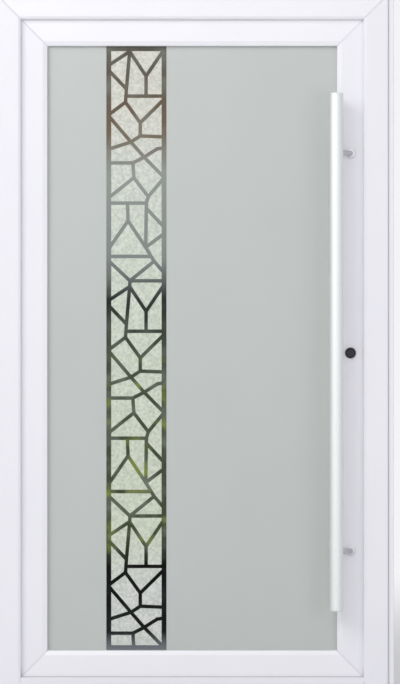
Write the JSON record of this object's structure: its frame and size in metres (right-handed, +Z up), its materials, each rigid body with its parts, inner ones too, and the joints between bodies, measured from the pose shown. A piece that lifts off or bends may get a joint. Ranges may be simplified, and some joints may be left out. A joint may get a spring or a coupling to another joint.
{
  "type": "front door",
  "caption": "White PVC-U front door in its fixed frame, with a satin glass panel, a strip of clear crazed lines, a long round pull bar and an inward-swinging leaf.",
  "frame": {"origin": "middle of the threshold's underside, half way through the frame's depth", "axes": "+X to the right seen from outside, -Y out of the house, +Y into the house, +Z up"},
  "size_m": [1.25, 0.231, 2.16],
  "materials": {
    "frame_pvcu": "smooth white PVC-U, satin gloss",
    "leaf_pvcu": "smooth white PVC-U, satin gloss",
    "trim_pvcu": "white PVC-U cover strip",
    "bead_pvcu": "white PVC-U glazing bead",
    "threshold_coated": "white powder-coated aluminium",
    "seal_rubber": "light grey EPDM seal",
    "satin_glass": "acid-etched satin float glass",
    "clear_glass": "clear float glass",
    "clear_lines": "clear lines left in the satin finish",
    "spacer_bar": "mill aluminium spacer",
    "stainless": "brushed stainless steel",
    "dark_lock": "dark bronzed lock rose and cylinder",
    "lock_steel": "zinc-plated steel",
    "hinge_white": "white coated hinge",
    "lever_white": "white coated handle"
  },
  "bodies": {
    "frame": {"frame_lock_jamb": "frame_pvcu", "frame_hinge_jamb": "frame_pvcu", "frame_head": "frame_pvcu", "edge_trim_lock_side": "trim_pvcu", "edge_trim_hinge_side": "trim_pvcu", "edge_trim_head": "trim_pvcu", "threshold": "threshold_coated", "frame_gasket": "seal_rubber", "latch_keep": "lock_steel", "upper_hook_keep": "lock_steel", "lower_hook_keep": "lock_steel", "lower_hinge_frame_half": "hinge_white", "middle_hinge_frame_half": "hinge_white", "upper_hinge_frame_half": "hinge_white"},
    "leaf": {"leaf_lock_stile": "leaf_pvcu", "leaf_hinge_stile": "leaf_pvcu", "leaf_top_rail": "leaf_pvcu", "leaf_bottom_rail": "leaf_pvcu", "leaf_gasket": "seal_rubber", "bottom_seal": "seal_rubber", "outer_pane": "satin_glass", "inner_pane": "clear_glass", "glazing_spacer": "spacer_bar", "outer_glazing_gasket": "seal_rubber", "lock_side_bead": "bead_pvcu", "hinge_side_bead": "bead_pvcu", "top_bead": "bead_pvcu", "bottom_bead": "bead_pvcu", "motif_lines": "clear_lines", "pull_bar": "stainless", "pull_bar_top_cap": "stainless", "pull_bar_bottom_cap": "stainless", "upper_bracket": "stainless", "lower_bracket": "stainless", "cylinder_rose": "dark_lock", "lock_cylinder": "dark_lock", "inside_backplate": "lever_white", "inside_lever": "lever_white", "lock_faceplate": "lock_steel", "latch_bolt": "lock_steel", "upper_hook_bolt": "lock_steel", "lower_hook_bolt": "lock_steel", "lower_hinge_leaf_half": "hinge_white", "middle_hinge_leaf_half": "hinge_white", "upper_hinge_leaf_half": "hinge_white"}
  },
  "joints": [
    {"name": "leaf_swing", "type": "hinge", "parent": "frame", "child": "leaf", "pos_m": [-0.576, 0.062, 1.08], "axis": [0, 0, 1], "range_deg": [0, 100]}
  ]
}
